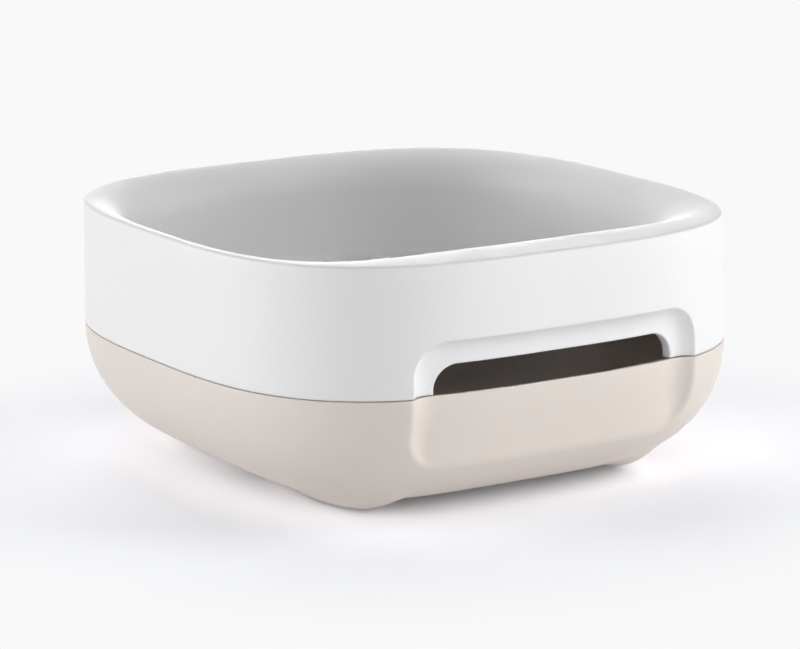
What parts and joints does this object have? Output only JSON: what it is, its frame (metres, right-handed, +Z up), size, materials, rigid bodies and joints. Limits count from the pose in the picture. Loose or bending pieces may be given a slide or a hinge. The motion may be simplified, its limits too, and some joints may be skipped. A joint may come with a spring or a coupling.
{
  "type": "soap dish",
  "caption": "Squared-off soap dish: a white bowl with a drained floor lifts off a tapering beige water tray with a finger recess, a front pouring slot and non-slip feet.",
  "frame": {"origin": "on the surface that the dish stands on, under the middle of its plan", "axes": "+Z up, -Y out of the front with the pouring slot, +X to the right as seen from the front"},
  "size_m": [0.1, 0.107, 0.046],
  "materials": {
    "upper_dish": "satin white moulded plastic",
    "lower_tray": "satin warm beige moulded plastic",
    "foot_pad": "matt grey non-slip rubber"
  },
  "bodies": {
    "lower_tray": {"lower_tray": "lower_tray", "foot_pad_front_left": "foot_pad", "foot_pad_front_right": "foot_pad", "foot_pad_back_left": "foot_pad", "foot_pad_back_right": "foot_pad"},
    "upper_dish": {"upper_dish": "upper_dish"}
  },
  "joints": [
    {"name": "upper_dish_lift", "type": "slide", "parent": "lower_tray", "child": "upper_dish", "axis": [0, 0, 1], "range_m": [0, 0.05]}
  ]
}
